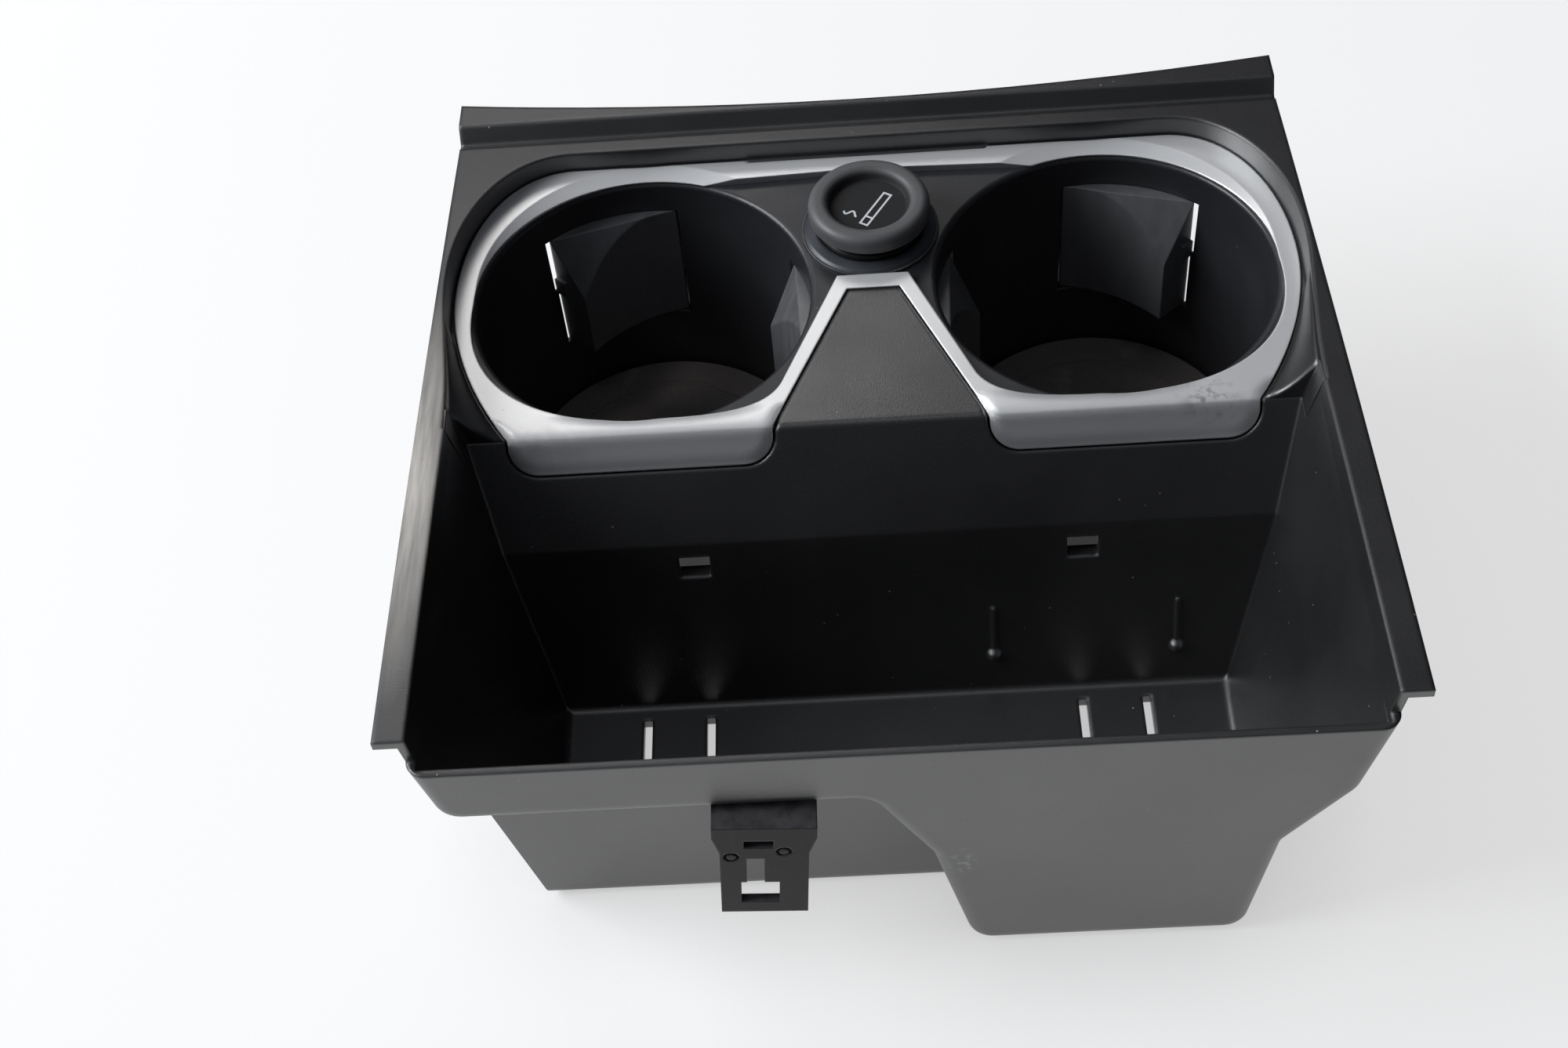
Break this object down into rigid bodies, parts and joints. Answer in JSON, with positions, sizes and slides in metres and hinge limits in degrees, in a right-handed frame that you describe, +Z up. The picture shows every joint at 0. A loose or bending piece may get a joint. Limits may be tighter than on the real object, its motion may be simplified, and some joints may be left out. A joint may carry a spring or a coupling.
{
  "type": "car cup holder",
  "caption": "Console insert for a car: an open bin, cup wells with sprung flaps that steady the cups, a bright trim ring, a press-in lighter in its socket and a front clip.",
  "frame": {"origin": "on the surface it stands on, under the middle of its bounding box", "axes": "+X to the right, +Y to the back where the cups are, +Z up"},
  "size_m": [0.2112, 0.2094, 0.0876],
  "materials": {
    "housing_plastic": "fine grain",
    "trim_silver": "satin silver",
    "insert_plastic": "satin",
    "flap_plastic": "satin",
    "mat_rubber": "matte",
    "knob_plastic": "satin",
    "bezel_plastic": "satin",
    "socket_steel": "satin",
    "steel": "bright",
    "contact_brass": "bright"
  },
  "bodies": {
    "holder": {"housing": "housing_plastic", "trim_ring": "trim_silver", "cup_insert": "insert_plastic", "insert_screws": "steel", "left_cup_mat": "mat_rubber", "right_cup_mat": "mat_rubber", "left_rear_flap_pin": "steel", "left_inner_flap_pin": "steel", "right_rear_flap_pin": "steel", "right_inner_flap_pin": "steel", "left_rear_flap_spring": "steel", "left_inner_flap_spring": "steel", "right_rear_flap_spring": "steel", "right_inner_flap_spring": "steel", "socket_barrel": "socket_steel", "socket_bezel": "bezel_plastic", "socket_base": "bezel_plastic", "socket_terminals": "contact_brass", "lighter_sleeve": "socket_steel", "lighter_spring": "steel", "front_clip": "housing_plastic"},
    "left_rear_flap": {"left_rear_flap": "flap_plastic"},
    "left_inner_flap": {"left_inner_flap": "flap_plastic"},
    "right_rear_flap": {"right_rear_flap": "flap_plastic"},
    "right_inner_flap": {"right_inner_flap": "flap_plastic"},
    "lighter_plunger": {"lighter_knob": "knob_plastic", "lighter_heater": "steel"}
  },
  "joints": [
    {"name": "left_rear_push", "type": "hinge", "parent": "holder", "child": "left_rear_flap", "pos_m": [-0.05096, 0.08407, 0.04325], "axis": [0, 0, -1], "range_deg": [0, 13], "stiffness_Nm_per_rad": 0.02, "springref_deg": -22.92, "deforming": ["left_rear_flap_spring"]},
    {"name": "left_inner_push", "type": "hinge", "parent": "holder", "child": "left_inner_flap", "pos_m": [-0.01501, 0.02598, 0.04325], "axis": [0, 0, -1], "range_deg": [0, 13], "stiffness_Nm_per_rad": 0.02, "springref_deg": -22.92, "deforming": ["left_inner_flap_spring"]},
    {"name": "right_rear_push", "type": "hinge", "parent": "holder", "child": "right_rear_flap", "pos_m": [0.05096, 0.08407, 0.04325], "axis": [0, 0, 1], "range_deg": [0, 13], "stiffness_Nm_per_rad": 0.02, "springref_deg": -22.92, "deforming": ["right_rear_flap_spring"]},
    {"name": "right_inner_push", "type": "hinge", "parent": "holder", "child": "right_inner_flap", "pos_m": [0.01501, 0.02598, 0.04325], "axis": [0, 0, 1], "range_deg": [0, 13], "stiffness_Nm_per_rad": 0.02, "springref_deg": -22.92, "deforming": ["right_inner_flap_spring"]},
    {"name": "lighter_press", "type": "slide", "parent": "holder", "child": "lighter_plunger", "axis": [0, 0, -1], "range_m": [0, 0.0035], "stiffness_N_per_m": 400, "springref_m": -0.004, "deforming": ["lighter_spring"]}
  ]
}
